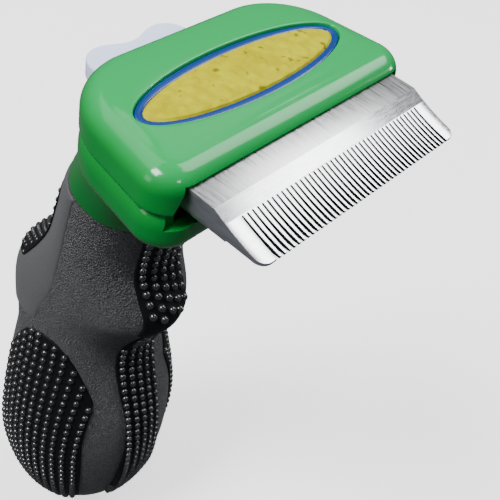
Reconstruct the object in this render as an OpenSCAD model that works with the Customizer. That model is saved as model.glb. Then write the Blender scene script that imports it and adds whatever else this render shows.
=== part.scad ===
// Deshedding tool for pets: a stepped steel comb clamped in a two-part head, a push-button hair
// ejector with two return springs, and a soft grip with dotted rubber pads.
// Frame: +Z up, the comb points along -Y, X is the width. The origin is the middle of the tooth
// tips, on the flat underside of the comb. Millimetres.

/* [Comb] */
// Width of the steel comb
comb_w = 44.5; // [42:0.5:46]
// Number of slots between the teeth
slot_count = 42; // [36:1:46]
// Depth of the slots, from the tooth tips
slot_len = 6.65; // [5:0.05:7]
// Width of a slot at the tooth tips
slot_tip_w = 0.52; // [0.4:0.02:0.6]
// Width of a slot at its closed end
slot_root_w = 0.24; // [0.2:0.02:0.3]
// Thickness of the comb behind its bevel
comb_t = 3.45; // [3:0.05:3.6]
// Thickness of the comb at the tooth tips
tip_t = 0.45; // [0.3:0.05:0.6]
// Length of the hollow-ground bevel
bevel_len = 8.95; // [8:0.05:10]
// Radius of the grinding wheel that leaves the hollow bevel
grind_r = 34; // [25:1:60]
// Radius of the comb's two front corners
comb_corner_r = 1.6; // [1:0.1:2.5]

/* [Head] */
// Width of the head at its front
head_w = 52.6; // [51:0.2:54]
// Width of the head across its back corners
head_back_w = 49.8; // [48:0.2:50.4]
// Distance from the tooth tips to the head's front face
head_front = 12.7; // [12.5:0.1:13.5]
// Distance from the tooth tips to the head's back face
head_back = 39.2; // [38.8:0.1:40]
// Height of the head's top face above the comb's underside
head_top = 6.2; // [6:0.1:7]
// Depth of the head's bottom face below the comb's underside
head_drop = 8; // [7.8:0.1:8.4]
// Depth of the seam between the two shells
seam_drop = 0.9; // [0.8:0.05:1]
// Wall thickness of both shells
wall = 2; // [1.8:0.1:2.1]
// Rounding of the head's top edge
top_edge_r = 3.6; // [2.5:0.1:4]
// Rounding of the head's bottom edge
bottom_edge_r = 3; // [1.5:0.1:3.5]

/* [Badge] */
// Length of the oval inlay
inlay_len = 38.8; // [30:0.2:40]
// Breadth of the oval inlay
inlay_breadth = 9.2; // [6:0.2:10]
// Width of the rim around the inlay
rim_w = 1.4; // [0.8:0.1:1.6]

/* [Ejector] */
// Distance that the button and the pusher plate travel
travel = 8; // [6:0.5:8]
// Width of the button
button_w = 20.6; // [18:0.2:21]
// How far the button stands out behind the head
button_reach = 10.2; // [9:0.1:11]
// Thickness of the button
button_t = 3.2; // [2.6:0.1:3.4]
// Thickness of the steel pusher plate
plate_t = 0.5; // [0.4:0.05:0.55]
// Turns in each return spring
spring_turns = 9; // [6:1:12]
// Wire diameter of the return springs
spring_wire = 0.5; // [0.4:0.05:0.6]

/* [Grip] */
// Height of the rubber dots' base layer above the grip
pad_t = 0.9; // [0.6:0.1:1.2]
// How far the smooth thumb rest stands out of the grip
rest_t = 0.4; // [0.3:0.05:0.6]
// Radius of the rigid core inside the grip
core_r = 7; // [6:0.5:7.5]

/* [Hidden] */
$fn = 48;
// Cutters run past the faces that they open by this much.
eps = 0.5;

// --- comb ---
pitch = comb_w / (slot_count + 5);
comb_depth = 24;
comb_screw = [14, 18];
comb_hole_r = 1.7;

// --- head ---
front_corner = [head_w / 2 - 5, head_front + 5, 5];
back_corner = [head_back_w / 2 - 13, head_back - 13, 13];
seam_z = -seam_drop;
floor_z = 1.8 - head_drop;
ceiling_z = head_top - 1.8;
seam_inset = 0.5;
mouth_gap = 1.5;
boss_r = 3;
shell_boss = [20.4, 30];
shell_boss_r = 2.7;
collar_screw = [14, 30];
collar_screw_r = 1.3;
collar_screw_head_h = 1.5;
collar_screw_len = 5;
collar_screw_end = floor_z - collar_screw_len;

// --- badge ---
badge_y = (head_front + head_back) / 2 - 1.3;
badge_floor_z = head_top - 0.9;

// --- ejector ---
slide_half_w = 10.65;
guide_gap = 0.15;
slide_front = 26;
slide_back = head_back - wall - 0.1;
slide_low = floor_z + 0.4;
slide_high = -0.65;
plate_low = -plate_t - 0.1;
plate_front = 6.5;
button_low = -5.2;
button_back = head_back + button_reach;
button_lobe_r = 4.2;
button_dip = 1.6;
tongue_w = 14;
tongue_len = 4;
tongue_high = -4.4;
button_screw_y = slide_back + 2;
// Inner and outer sides of the ribs that stop the slide, and the gap that they leave it.
stop_x = [8, 10];
stop_gap = 0.1;
stop_len = 2;
rivet = [9, 28.5];
rivet_r = 0.9;
rivet_head_r = 1.5;
spring_x = 5;
spring_z = -3.2;
spring_r = 1.85;
spring_seat = head_front + wall;
pocket_r = 2.4;
pocket_end = 36;
pin_r = 1.2;
pin_end = 26.5;

// --- handle ---
// Sections of the neck and the grip, from top to bottom:
// [height, half width, front, back, front squareness, back squareness, slope of the section]
SECTIONS = [
    [-7.5, 18.5, 19, 44, 2.2, 2.6, 0],
    [-13, 16.6, 24, 46.5, 2.2, 2.4, 0.05],
    [-20, 14.6, 28, 49.6, 2.2, 2.3, 0.15],
    [-27.5, 13.5, 32, 53, 2.2, 2.2, 0.24],
    [-37, 13, 34, 55.6, 2, 2.3, 0.14],
    [-44, 13, 34.6, 57.6, 2, 2.4, 0.05],
    [-49, 13.3, 33, 60.6, 1.9, 2.5, 0],
    [-54, 13.8, 30.2, 64.6, 1.8, 2.5, 0],
    [-58, 14.1, 30.4, 67.6, 1.8, 2.5, 0],
    [-62, 14.3, 32.8, 68.6, 1.8, 2.5, 0],
    [-66, 14.5, 35.6, 68.6, 1.9, 2.4, 0],
    [-70, 14.8, 37.2, 68.2, 2, 2.3, 0],
    [-76, 15.6, 37.4, 68.2, 2, 2.1, 0],
    [-84, 17.4, 35.8, 69.4, 2, 2, 0],
    [-94, 19, 33.4, 71, 2, 2, 0],
    [-105, 19.8, 32.3, 72.2, 2, 2, 0],
    [-116, 19, 33, 71.4, 2, 2, 0],
    [-126, 16.6, 35.6, 68.6, 2, 2, 0],
    [-134, 12.6, 39.4, 64.2, 2, 2, 0],
    [-138.6, 8.4, 43.6, 60, 2, 2, 0],
    [-141.4, 3.8, 48.2, 55.4, 2, 2, 0]];
COLLAR_END = 3;
GRIP_END = len(SECTIONS) - 1;
SIDES = 48;
// The core follows the neck down to the elbow, then runs straight down into the bulb.
neck_tilt = 24;
elbow = [0, 44, -33];
core_y = 47;
core_top = -37;
core_end = -126;
spigot_r = 5.5;
spigot_len = 17;
bolt_r = 2.5;
bolt_head_r = 4.2;
bolt_bore_r = bolt_head_r + 0.4;
insert_r = 3.6;
insert_len = 9;
// The grip's bore runs on past the neck's top.
grip_bore_len = 30;

module mirrored() {
    children();
    mirror([1, 0, 0]) children();
}

// ===================== curves and sweeps =====================

function arc(cx, cy, r, from, to, steps) =
    [for (i = [0:steps]) let (a = from + (to - from) * i / steps) [cx + r * cos(a), cy + r * sin(a)]];

// Plan of the head, drawn inward by a distance: straight front, splayed sides that are tangent to
// both corners, full round corners behind.
function head_plan(inset = 0) =
    let (f = front_corner, b = back_corner, run = [b[0] - f[0], b[1] - f[1]],
        side = atan2(run[1], run[0]) - acos((f[2] - b[2]) / norm(run)))
    concat(
        arc(f[0], f[1], f[2] - inset, -90, side, 7),
        arc(b[0], b[1], b[2] - inset, side, 90, 12),
        arc(-b[0], b[1], b[2] - inset, 90, 180 - side, 12),
        arc(-f[0], f[1], f[2] - inset, 180 - side, 270, 7));

function oval(len, breadth, steps = 72) =
    [for (i = [0:steps - 1]) let (a = 360 * i / steps) [len / 2 * cos(a), breadth / 2 * sin(a)]];

// Side faces of a tube of rings, given in order, each with the same number of points.
function tube_faces(rings, sides) = concat(
    [for (r = [0:rings - 2], s = [0:sides - 1])
        [r * sides + s, (r + 1) * sides + s, (r + 1) * sides + (s + 1) % sides]],
    [for (r = [0:rings - 2], s = [0:sides - 1])
        [r * sides + s, (r + 1) * sides + (s + 1) % sides, r * sides + (s + 1) % sides]]);

module ring_solid(rings) {
    sides = len(rings[0]);
    last = (len(rings) - 1) * sides;
    polyhedron([for (r = rings) each r], concat(tube_faces(len(rings), sides),
        [[for (s = [0:sides - 1]) s], [for (s = [sides - 1:-1:0]) last + s]]));
}

// Stack of head plans: each level is [height, inset].
module head_stack(levels) {
    ring_solid([for (l = levels) [for (p = head_plan(l[1])) [p[0], p[1], l[0]]]]);
}

// Smooth curve through four values at the middle span.
function blend4(a, b, c, d, t) =
    0.5 * (2 * b + (c - a) * t + (2 * a - 5 * b + 4 * c - d) * t * t
        + (3 * b - a - 3 * c + d) * t * t * t);

// Section of the handle at a place counted in steps along SECTIONS.
function section_at(place) =
    let (last = len(SECTIONS) - 1,
        i = min(floor(place), last - 1),
        t = place - i)
    blend4(SECTIONS[max(i - 1, 0)], SECTIONS[i], SECTIONS[i + 1], SECTIONS[min(i + 2, last)], t);

function signed_pow(v, e) = sign(v) * pow(abs(v), e);

// Point on the handle's surface. The angle is 0 at +X and 90 at the back; lift moves it outward.
function handle_point(place, angle, lift = 0) =
    let (s = section_at(place),
        mid = (s[2] + s[3]) / 2,
        n = sin(angle) < 0 ? s[4] : s[5],
        x = s[1] * signed_pow(cos(angle), 2 / n),
        y = (s[3] - s[2]) / 2 * signed_pow(sin(angle), 2 / n),
        grow = 1 + lift / norm([x, y]))
    [x * grow, mid + y * grow, s[0] + s[6] * y];

module handle_loft(from, to, per_section) {
    rings = (to - from) * per_section;
    ring_solid([for (r = [rings:-1:0])
        [for (k = [0:SIDES - 1]) handle_point(from + r / per_section, 360 * k / SIDES)]]);
}

// Share of its full spread that a layer keeps at a place along it, counted 0 to 1: it closes
// to a rounded point over the given lengths at its top and its low end.
function taper(t, top, low) =
    let (a = top > 0 ? min(t / top, 1) : 1,
        b = low > 0 ? min((1 - t) / low, 1) : 1)
    max(pow(a * b, 0.6), 0.05);

// Layer on the handle between two places, spread by an angle to each side of a middle angle.
module handle_layer(from, to, middle, spread, low, high, top_taper = 0, low_taper = 0.3,
        rows = 20, columns = 12) {
    function edge(r, c, lift) =
        let (t = r / rows)
        handle_point(from + (to - from) * t,
            middle + taper(t, top_taper, low_taper) * spread * (2 * c / columns - 1), lift);
    // Each ring runs out along the upper face and back along the lower face.
    points = [for (r = [rows:-1:0]) each concat(
        [for (c = [0:columns]) edge(r, c, high)],
        [for (c = [columns:-1:0]) edge(r, c, low)])];
    sides = 2 * (columns + 1);
    last = rows * sides;
    polyhedron(points, concat(tube_faces(rows + 1, sides),
        [for (c = [0:columns - 1]) [c, c + 1, sides - 2 - c]],
        [for (c = [0:columns - 1]) [c, sides - 2 - c, sides - 1 - c]],
        [for (c = [0:columns - 1]) [last + sides - 2 - c, last + c + 1, last + c]],
        [for (c = [0:columns - 1]) [last + sides - 1 - c, last + sides - 2 - c, last + c]]));
}

module box_between(low, high) {
    translate(low) cube(high - low);
}

// ===================== comb =====================

module comb_outline() {
    r = comb_corner_r;
    difference() {
        translate([-comb_w / 2, 0]) square([comb_w, comb_depth]);
        mirrored() translate([comb_w / 2 - r, 0]) difference() {
            translate([0, -eps]) square([r + eps, r + eps]);
            translate([0, r]) circle(r);
        }
    }
}

module comb_slot() {
    overrun = 0.4;
    widen = (slot_tip_w - slot_root_w) / slot_len * overrun;
    linear_extrude(height = comb_t + 2 * eps) polygon([
        [-slot_tip_w / 2 - widen, -overrun],
        [slot_tip_w / 2 + widen, -overrun],
        [slot_root_w / 2, slot_len],
        [-slot_root_w / 2, slot_len]]);
}

module comb_blade() {
    chord = [bevel_len, comb_t - tip_t];
    reach = sqrt(grind_r * grind_r - chord * chord / 4);
    centre = [bevel_len / 2, (comb_t + tip_t) / 2] + reach * [-chord[1], chord[0]] / norm(chord);
    color("gainsboro") difference() {
        linear_extrude(height = comb_t) comb_outline();
        translate([0, centre[0], centre[1]]) rotate([0, 90, 0])
            cylinder(r = grind_r, h = comb_w + 2, center = true, $fn = 240);
        for (i = [0:slot_count - 1])
            translate([(i - (slot_count - 1) / 2) * pitch, 0, -eps]) comb_slot();
        mirrored() translate([comb_screw[0], comb_screw[1], -eps])
            cylinder(r = comb_hole_r, h = comb_t + 2 * eps);
    }
}

// ===================== fasteners =====================

// Screw pointing up: a round head with a cross recess below, a plain shank above.
module screw(head_r, head_h, shank_r, length) {
    recess = head_h * 0.6;
    difference() {
        union() {
            cylinder(r = head_r, h = head_h);
            cylinder(r = shank_r, h = head_h + length);
        }
        for (turn = [0, 90])
            rotate([0, 0, turn]) translate([-head_r * 0.6, -head_r * 0.13, -eps])
                cube([head_r * 1.2, head_r * 0.26, recess + eps]);
    }
}

module comb_screws() {
    color("silver") mirrored() translate([comb_screw[0], comb_screw[1], -head_drop + 0.3])
        screw(2.7, 1.2, 1.5, 11.1);
}

module shell_screws() {
    color("silver") mirrored() translate([shell_boss[0], shell_boss[1], -head_drop + 0.6])
        screw(2.1, 1.4, 1.1, 8.4);
}

module collar_screws() {
    color("silver") mirrored() translate([collar_screw[0], collar_screw[1], floor_z + collar_screw_head_h])
        mirror([0, 0, 1]) screw(2.1, collar_screw_head_h, collar_screw_r, collar_screw_len);
}

// ===================== head =====================

module comb_mouth() {
    half = comb_w / 2 + 0.15;
    box_between([-half, head_front - 1, seam_z - eps], [half, comb_depth + 0.2, comb_t + 0.05]);
    box_between([-half - mouth_gap, head_front - 1, seam_z - 1],
        [half + mouth_gap, head_front + 1.2, comb_t + 0.6]);
}

module head_top_shell() {
    // Levels of the outer skin: seam lip, upright wall, rounded top edge.
    edge = [for (a = [0:15:90]) [head_top - top_edge_r * (1 - sin(a)), top_edge_r * (1 - cos(a))]];
    levels = concat([[seam_z, seam_inset], [seam_z + seam_inset, 0]], edge);
    color("mediumseagreen") difference() {
        union() {
            difference() {
                head_stack(levels);
                translate([0, 0, seam_z - eps]) linear_extrude(height = ceiling_z - seam_z + eps)
                    polygon(head_plan(wall));
            }
            mirrored() {
                translate([comb_screw[0], comb_screw[1], comb_t])
                    cylinder(r = boss_r, h = ceiling_z - comb_t + 0.2);
                translate([shell_boss[0], shell_boss[1], seam_z])
                    cylinder(r = shell_boss_r, h = ceiling_z - seam_z + 0.2);
            }
        }
        comb_mouth();
        mirrored() {
            translate([comb_screw[0], comb_screw[1], comb_t - eps])
                cylinder(r = 1.5, h = 1.9 + eps);
            translate([shell_boss[0], shell_boss[1], seam_z - eps])
                cylinder(r = 1.1, h = 3.6 + eps);
        }
        translate([0, badge_y, badge_floor_z]) linear_extrude(height = 2)
            polygon(oval(inlay_len + 2 * rim_w, inlay_breadth + 2 * rim_w));
    }
}

module head_bottom_shell() {
    r = bottom_edge_r;
    edge = [for (a = [90:-15:0]) [-head_drop + r * (1 - sin(a)), r * (1 - cos(a))]];
    levels = concat(edge, [[seam_z - seam_inset, 0], [seam_z, seam_inset]]);
    guide = slide_half_w + guide_gap;
    color("seagreen") difference() {
        union() {
            difference() {
                head_stack(levels);
                translate([0, 0, floor_z]) linear_extrude(height = head_drop)
                    polygon(head_plan(wall));
            }
            mirrored() {
                translate([comb_screw[0], comb_screw[1], floor_z - 0.2])
                    cylinder(r = boss_r, h = 0.2 - floor_z);
                translate([shell_boss[0], shell_boss[1], floor_z - 0.2])
                    cylinder(r = shell_boss_r, h = seam_z - floor_z + 0.2);
                box_between([guide, 19, floor_z - 0.2], [guide + 1, 37.5, -3]);
                box_between([stop_x[0], slide_front - travel - stop_gap - stop_len, floor_z - 0.2],
                    [stop_x[1], slide_front - travel - stop_gap, -4.2]);
            }
        }
        comb_mouth();
        // Way out for the button at the back.
        box_between([-guide, head_back - wall - 0.2, floor_z],
            [guide, head_back + 1, seam_z + 1]);
        mirrored() {
            for (s = [[comb_screw, comb_hole_r, 2.9, 1.5], [shell_boss, 1.3, 2.2, 2.1]])
                translate([s[0][0], s[0][1], -head_drop]) {
                    translate([0, 0, -eps]) cylinder(r = s[1], h = head_drop + 1);
                    translate([0, 0, -eps]) cylinder(r = s[2], h = s[3] + eps);
                }
            translate([collar_screw[0], collar_screw[1], -head_drop - eps])
                cylinder(r = 1.4, h = 3);
            translate([spring_x, spring_seat + eps, spring_z]) rotate([90, 0, 0])
                cylinder(r = pin_r, h = 0.8 + eps);
        }
        neck_bore(bolt_bore_r, -2, 6);
    }
}

module badge_rim() {
    color("royalblue") translate([0, badge_y, badge_floor_z]) linear_extrude(height = 0.6)
        difference() {
            polygon(oval(inlay_len + 2 * rim_w, inlay_breadth + 2 * rim_w));
            polygon(oval(inlay_len, inlay_breadth));
        }
}

module badge_inlay() {
    color("gold") translate([0, badge_y, badge_floor_z]) linear_extrude(height = 1.1)
        polygon(oval(inlay_len, inlay_breadth));
}

// ===================== ejector =====================

// Plan of the button: a tongue into the head, two round lobes and a shallow dip between them.
function button_plan() =
    let (r = button_lobe_r,
        x = button_w / 2 - r,
        y = button_back - r,
        front = head_back + 0.6)
    concat(
        [[-tongue_w / 2, front], [-tongue_w / 2, slide_back],
            [tongue_w / 2, slide_back], [tongue_w / 2, front], [button_w / 2, front]],
        arc(x, y, r, 0, 90, 10),
        [for (i = [1:15]) let (u = 1 - i / 8)
            [x * u, button_back - button_dip * pow(cos(90 * u), 2)]],
        arc(-x, y, r, 90, 180, 10),
        [[-button_w / 2, front]]);

module ejector_button() {
    color("lavender") difference() {
        translate([0, 0, button_low]) linear_extrude(height = button_t) polygon(button_plan());
        // Notch for the tongue of the slide, and a blind hole for the screw.
        box_between([-tongue_w / 2 - 1, slide_back - 1, button_low - 1],
            [tongue_w / 2 + 1, slide_back + tongue_len + 0.1, tongue_high]);
        translate([0, button_screw_y, tongue_high - eps]) cylinder(r = 1, h = 1.5 + eps);
    }
}

module button_screw() {
    color("silver") translate([0, button_screw_y, slide_low]) screw(1.9, 0.7, 1, 2);
}

module ejector_slide() {
    color("whitesmoke") difference() {
        union() {
            box_between([-slide_half_w, slide_front, slide_low],
                [slide_half_w, slide_back, slide_high]);
            box_between([1 - tongue_w / 2, slide_back - 1, slide_low],
                [tongue_w / 2 - 1, slide_back + tongue_len, tongue_high]);
        }
        mirrored() {
            translate([spring_x, slide_front - eps, spring_z]) rotate([-90, 0, 0])
                cylinder(r = pocket_r, h = pocket_end - slide_front + eps);
            translate([rivet[0], rivet[1], slide_low - eps]) cylinder(r = rivet_r, h = 8);
            translate([rivet[0], rivet[1], slide_low - eps])
                cylinder(r = rivet_head_r, h = 0.6 + eps);
        }
        translate([0, button_screw_y, slide_low - eps]) cylinder(r = 1, h = 4);
        translate([0, button_screw_y, slide_low - eps]) cylinder(r = 1.9, h = 0.7 + eps);
    }
}

module pusher_plate() {
    color("darkgray") translate([0, 0, plate_low]) linear_extrude(height = plate_t)
        difference() {
            union() {
                translate([-comb_w / 2 + 0.3, plate_front])
                    square([comb_w - 0.6, comb_screw[1] - boss_r - 0.1 - plate_front]);
                translate([1 - slide_half_w, plate_front]) square([2 * slide_half_w - 2, 25]);
            }
            mirrored() translate(rivet) circle(rivet_r);
        }
}

module plate_rivets() {
    color("silver") mirrored() translate([rivet[0], rivet[1], slide_low]) {
        cylinder(r = rivet_head_r, h = 0.6);
        cylinder(r = rivet_r, h = plate_low + plate_t - slide_low);
    }
}

module spring_pins() {
    color("dimgray") mirrored() translate([spring_x, spring_seat - 0.8, spring_z])
        rotate([-90, 0, 0]) cylinder(r = pin_r, h = pin_end - spring_seat + 0.8);
}

// One round wire wound about +Y, with its ends flat against both seats.
module coil(length, radius, wire, turns) {
    per_turn = 12;
    steps = turns * per_turn;
    ring_solid([for (i = [0:steps])
        let (a = 360 * i / per_turn, y = wire / 2 + (length - wire) * i / steps)
        [for (k = [0:5]) let (b = 60 * k, r = radius + wire / 2 * cos(b))
            [r * cos(a), y + wire / 2 * sin(b), r * sin(a)]]]);
}

module return_springs() {
    color("silver") mirrored() translate([spring_x, spring_seat, spring_z])
        coil(pocket_end - spring_seat, spring_r, spring_wire, spring_turns);
}

// ===================== neck and handle =====================

// Round cutter along the neck's axis: distances run up from the elbow, below zero from the top.
module neck_bore(r, low, high) {
    translate(elbow) rotate([neck_tilt, 0, 0]) translate([0, 0, spigot_len + 9 + low])
        cylinder(r = r, h = high - low);
}

// Straight neck part and bulb part of the core.
module core_outline(spigot) {
    translate(elbow) rotate([neck_tilt, 0, 0]) cylinder(r = spigot_r, h = spigot);
    translate(elbow) sphere(r = core_r);
    translate([0, core_y, core_end]) cylinder(r = core_r, h = core_top - core_end);
    translate([0, core_y + 6, core_end + 14]) cylinder(r = core_r, h = 40);
}

module neck_collar() {
    color("darkgreen") difference() {
        handle_loft(0, COLLAR_END, 4);
        // The head's rounded underside sits on the collar.
        translate([-30, 0, -head_drop]) cube([60, head_back, 10]);
        translate([-30, 0, -head_drop + 0.9]) cube([60, 80, 10]);
        translate(elbow) rotate([neck_tilt, 0, 0]) {
            translate([0, 0, -4]) cylinder(r = spigot_r, h = spigot_len + 4);
            cylinder(r = bolt_r + 0.1, h = 40);
            translate([0, 0, spigot_len + 3]) cylinder(r = bolt_bore_r, h = 20);
        }
        mirrored() translate([collar_screw[0], collar_screw[1], collar_screw_end - 0.3])
            cylinder(r = collar_screw_r, h = collar_screw_len);
    }
}

module neck_bolt() {
    color("silver") translate(elbow) rotate([neck_tilt, 0, 0]) difference() {
        union() {
            translate([0, 0, -1]) cylinder(r = bolt_r, h = spigot_len + 4);
            translate([0, 0, spigot_len + 3]) cylinder(r = bolt_head_r, h = 3);
        }
        translate([0, 0, spigot_len + 4]) cylinder(r = 2.3, h = 4, $fn = 6);
    }
}

module bolt_insert() {
    color("goldenrod") translate(elbow) rotate([neck_tilt, 0, 0]) difference() {
        translate([0, 0, -1]) cylinder(r = insert_r, h = insert_len);
        translate([0, 0, -1 - eps]) cylinder(r = bolt_r, h = insert_len + 2 * eps);
    }
}

module handle_core() {
    color("dimgray") difference() {
        core_outline(spigot_len);
        translate(elbow) rotate([neck_tilt, 0, 0]) {
            translate([0, 0, -1]) cylinder(r = insert_r, h = insert_len);
            translate([0, 0, -1]) cylinder(r = bolt_r + 0.1, h = 40);
        }
    }
}

module handle_grip() {
    color("dimgray") difference() {
        handle_loft(COLLAR_END, GRIP_END, 3);
        core_outline(grip_bore_len);
    }
}

module thumb_rest() {
    color("gray") handle_layer(COLLAR_END + 0.05, 11.2, 90, 84, 0.05, rest_t,
        low_taper = 0.12, rows = 36, columns = 16);
}

module thumb_pad() {
    color("black") handle_layer(COLLAR_END + 0.3, 8.2, 90, 50, rest_t + 0.05, rest_t + pad_t,
        top_taper = 0.1, low_taper = 0.15, rows = 20, columns = 12);
}

module finger_pad() {
    color("black") handle_layer(COLLAR_END + 0.1, 7.25, 270, 28.5, 0.05, pad_t,
        low_taper = 0.34, rows = 22, columns = 10);
}

module bulb_front_pad() {
    color("black") handle_layer(9, 18.2, 270, 20, 0.05, pad_t,
        top_taper = 0.1, low_taper = 0.1, rows = 28, columns = 10);
}

// Leaf-shaped pad on one side of the bulb.
module bulb_side_pad(middle) {
    color("black") handle_layer(10.7, 18.6, middle, 42, 0.05, pad_t,
        top_taper = 0.3, low_taper = 0.2, rows = 24, columns = 14);
}

module bulb_left_pad() {
    bulb_side_pad(190);
}

module bulb_right_pad() {
    bulb_side_pad(-10);
}

head_top_shell();
head_bottom_shell();
badge_rim();
badge_inlay();
comb_blade();
comb_screws();
shell_screws();
ejector_button();
ejector_slide();
button_screw();
pusher_plate();
plate_rivets();
return_springs();
spring_pins();
neck_collar();
collar_screws();
neck_bolt();
bolt_insert();
handle_core();
handle_grip();
thumb_rest();
thumb_pad();
finger_pad();
bulb_front_pad();
bulb_left_pad();
bulb_right_pad();
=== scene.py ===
import bpy
import math
import numpy as np
from mathutils import Matrix, Vector


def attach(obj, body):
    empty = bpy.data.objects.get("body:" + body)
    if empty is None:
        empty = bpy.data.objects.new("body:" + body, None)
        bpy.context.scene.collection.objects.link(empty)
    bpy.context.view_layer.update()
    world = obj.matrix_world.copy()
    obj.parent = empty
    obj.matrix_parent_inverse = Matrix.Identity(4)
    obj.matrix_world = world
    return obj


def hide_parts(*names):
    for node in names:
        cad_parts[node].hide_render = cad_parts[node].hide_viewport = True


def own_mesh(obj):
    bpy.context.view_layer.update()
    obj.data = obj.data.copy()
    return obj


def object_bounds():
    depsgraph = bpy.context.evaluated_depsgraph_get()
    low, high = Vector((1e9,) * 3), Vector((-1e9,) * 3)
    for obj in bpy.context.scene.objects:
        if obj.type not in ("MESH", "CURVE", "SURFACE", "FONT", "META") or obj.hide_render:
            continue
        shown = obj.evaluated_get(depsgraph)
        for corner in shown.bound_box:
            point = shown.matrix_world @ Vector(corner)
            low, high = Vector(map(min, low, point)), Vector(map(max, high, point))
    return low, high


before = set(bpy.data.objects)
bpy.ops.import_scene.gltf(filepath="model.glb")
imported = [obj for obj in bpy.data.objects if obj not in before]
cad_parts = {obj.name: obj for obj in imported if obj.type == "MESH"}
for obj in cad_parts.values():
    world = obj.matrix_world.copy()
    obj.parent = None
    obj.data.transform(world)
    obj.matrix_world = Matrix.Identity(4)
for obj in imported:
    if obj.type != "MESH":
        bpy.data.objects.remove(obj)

# Everything below is in millimetres in the row frame, and turned into metres by make().
MM = 0.001
cad_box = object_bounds()
low_z = cad_box[0][2] / MM


# ---------------------------------------------------------------- mesh helpers

def make(name, verts, faces, material, body="tool", slot=None, replaces=(), smooth=True):
    """One object from arrays of points (mm) and faces."""
    mesh = bpy.data.meshes.new(name)
    mesh.from_pydata((np.asarray(verts) * MM).tolist(), [], [list(map(int, f)) for f in faces])
    mesh.validate()
    mesh.update()
    mesh.shade_smooth() if smooth else mesh.shade_flat()
    obj = bpy.data.objects.new(name, mesh)
    bpy.context.scene.collection.objects.link(obj)
    mesh.materials.append(material)
    if body:
        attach(obj, body)
    for node in replaces:
        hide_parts(node)
    return obj


def grid_faces(rows, cols, wrap=False, flip=False, start=0):
    """Quads of a rows x cols grid of points, closed round the columns if wrap."""
    faces = []
    for r in range(rows - 1):
        for c in range(cols if wrap else cols - 1):
            n = (c + 1) % cols
            low, high = start + r * cols, start + (r + 1) * cols
            q = [low + c, low + n, high + n, high + c]
            faces.append(q[::-1] if flip else q)
    return faces


def modify(obj, kind, **settings):
    mod = obj.modifiers.new(kind.lower(), kind)
    for key, value in settings.items():
        setattr(mod, key, value)
    return mod


def bake(obj):
    """Applies an object's modifiers to its mesh."""
    deps = bpy.context.evaluated_depsgraph_get()
    mesh = bpy.data.meshes.new_from_object(obj.evaluated_get(deps), depsgraph=deps)
    old = obj.data
    obj.modifiers.clear()
    obj.data = mesh
    bpy.data.meshes.remove(old)


def sharp_by_angle(obj, degrees=32):
    obj.data.set_sharp_from_angle(angle=math.radians(degrees))


def smoothstep(t):
    t = np.clip(t, 0, 1)
    return t * t * (3 - 2 * t)


# ---------------------------------------------------------------- materials

class Nodes:
    """Short way to build a node tree."""

    def __init__(self, name):
        self.mat = bpy.data.materials.new(name)
        self.mat.use_nodes = True
        self.tree = self.mat.node_tree
        self.bsdf = self.tree.nodes["Principled BSDF"]
        self.coord = self.add("ShaderNodeTexCoord").outputs["Object"]

    def add(self, kind, **settings):
        node = self.tree.nodes.new(kind)
        for key, value in settings.items():
            setattr(node, key, value)
        return node

    def link(self, a, b):
        self.tree.links.new(a, b)

    def noise(self, scale, detail=3.0, rough=0.5, stretch=None, vector=None):
        node = self.add("ShaderNodeTexNoise")
        node.inputs["Scale"].default_value = scale
        node.inputs["Detail"].default_value = detail
        node.inputs["Roughness"].default_value = rough
        self.link(self.mapped(stretch, vector), node.inputs["Vector"])
        return node.outputs["Fac"]

    def voronoi(self, scale, feature="F1", randomness=1.0, stretch=None):
        node = self.add("ShaderNodeTexVoronoi", feature=feature)
        node.inputs["Scale"].default_value = scale
        node.inputs["Randomness"].default_value = randomness
        self.link(self.mapped(stretch), node.inputs["Vector"])
        return node.outputs["Distance"]

    def mapped(self, stretch=None, vector=None, turn=(0, 0, 0)):
        vector = vector or self.coord
        if stretch is None and turn == (0, 0, 0):
            return vector
        node = self.add("ShaderNodeMapping")
        node.inputs["Scale"].default_value = stretch or (1, 1, 1)
        node.inputs["Rotation"].default_value = turn
        self.link(vector, node.inputs["Vector"])
        return node.outputs["Vector"]

    def ramp(self, fac, *stops):
        """stops are (position, value or colour)."""
        node = self.add("ShaderNodeValToRGB")
        els = node.color_ramp.elements
        while len(els) > 1:
            els.remove(els[-1])
        for i, (pos, val) in enumerate(stops):
            el = els[0] if i == 0 else els.new(pos)
            el.position = pos
            el.color = (val, val, val, 1) if isinstance(val, (int, float)) else (*val, 1)
        self.link(fac, node.inputs["Fac"])
        return node.outputs["Color"]

    def mix(self, fac, a, b, blend="MIX"):
        node = self.add("ShaderNodeMix", data_type="RGBA", blend_type=blend)
        for key, val in ((0, fac), (6, a), (7, b)):
            if isinstance(val, bpy.types.NodeSocket):
                self.link(val, node.inputs[key])
            else:
                node.inputs[key].default_value = val if key == 0 else (*val, 1)
        return node.outputs[2]

    def math(self, op, a, b=0.0):
        node = self.add("ShaderNodeMath", operation=op)
        for i, val in enumerate((a, b)):
            if isinstance(val, bpy.types.NodeSocket):
                self.link(val, node.inputs[i])
            else:
                node.inputs[i].default_value = val
        return node.outputs[0]

    def bump(self, height, distance, strength=1.0, under=None):
        node = self.add("ShaderNodeBump")
        node.inputs["Distance"].default_value = distance
        node.inputs["Strength"].default_value = strength
        self.link(height, node.inputs["Height"])
        if under:
            self.link(under, node.inputs["Normal"])
        self.link(node.outputs["Normal"], self.bsdf.inputs["Normal"])
        return node.outputs["Normal"]

    def set(self, **values):
        for key, val in values.items():
            socket = self.bsdf.inputs[key.replace("_", " ")]
            if isinstance(val, bpy.types.NodeSocket):
                self.link(val, socket)
            elif isinstance(val, tuple) and len(val) == 3:
                socket.default_value = (*val, 1)
            else:
                socket.default_value = val
        return self.mat


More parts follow.
